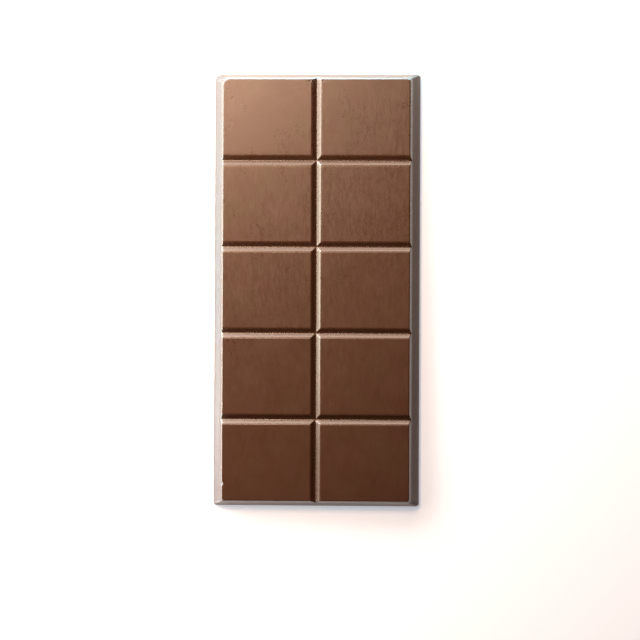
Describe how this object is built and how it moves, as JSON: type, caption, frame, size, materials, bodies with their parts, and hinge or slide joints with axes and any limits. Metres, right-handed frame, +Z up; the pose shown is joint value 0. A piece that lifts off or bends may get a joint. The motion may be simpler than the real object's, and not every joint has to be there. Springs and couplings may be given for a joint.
{
  "type": "chocolate bar",
  "caption": "Flat moulded chocolate bar of plain blocks parted by V grooves, on a bevelled slab, made to be snapped into pieces and eaten.",
  "frame": {"origin": "middle of the flat poured back, which the bar lies on", "axes": "+X across the bar, +Y along its length, +Z up out of the blocks' tops"},
  "size_m": [0.077, 0.1616, 0.0067],
  "materials": {
    "chocolate": "satin, tempered brown chocolate with a faint mottle"
  },
  "bodies": {
    "root": {"bar": "chocolate"}
  },
  "joints": []
}
